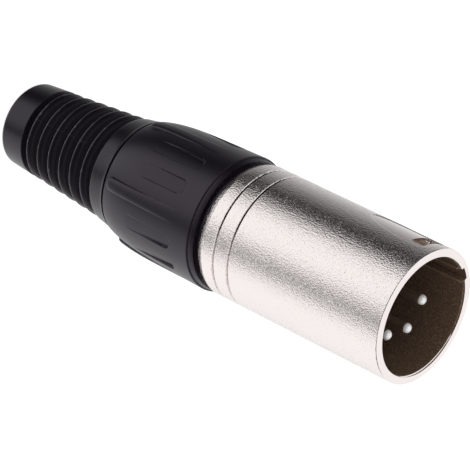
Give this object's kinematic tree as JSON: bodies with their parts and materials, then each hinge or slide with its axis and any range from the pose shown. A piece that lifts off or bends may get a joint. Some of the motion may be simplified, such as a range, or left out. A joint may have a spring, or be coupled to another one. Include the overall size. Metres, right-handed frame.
{
  "type": "xlr male cable plug",
  "caption": "Male XLR-pattern cable plug: round satin nickel sleeve with recessed contacts, screw-on grip nut and ringed strain relief boot.",
  "frame": {"origin": "centre of the boot's cable end, on the plug's axis, where the plug stands", "axes": "+Z along the plug's axis towards the mating rim; +Y out through the latch window; +X completes a right-handed frame"},
  "size_m": [0.0198, 0.0198, 0.0734],
  "materials": {
    "satin_nickel": "satin",
    "carrier_plastic": "matte",
    "contact_silver": "polished",
    "spring_bronze": "satin",
    "clamp_plastic": "matte",
    "nut_plastic": "satin",
    "boot_rubber": "matte"
  },
  "bodies": {
    "nut_body": {"back_nut": "nut_plastic", "boot": "boot_rubber"},
    "clamp_body": {"cable_clamp": "clamp_plastic"},
    "shell_body": {"shell": "satin_nickel", "contact_insert": "carrier_plastic", "contact_pin_1": "contact_silver", "contact_pin_2": "contact_silver", "contact_pin_3": "contact_silver", "contact_pin_4": "contact_silver", "contact_pin_5": "contact_silver", "earth_spring": "spring_bronze"}
  },
  "joints": [
    {"name": "thread_turn", "type": "hinge", "parent": "nut_body", "child": "clamp_body", "pos_m": [0, 0, 0.0325], "axis": [0, 0, 1], "range_deg": [0, 1440]},
    {"name": "thread_lift", "type": "slide", "parent": "clamp_body", "child": "shell_body", "axis": [0, 0, 1], "range_m": [0, 0.005]}
  ],
  "couplings": [
    {"joint": "thread_turn", "follows": "thread_lift", "rad_per_m": 5026.5}
  ]
}
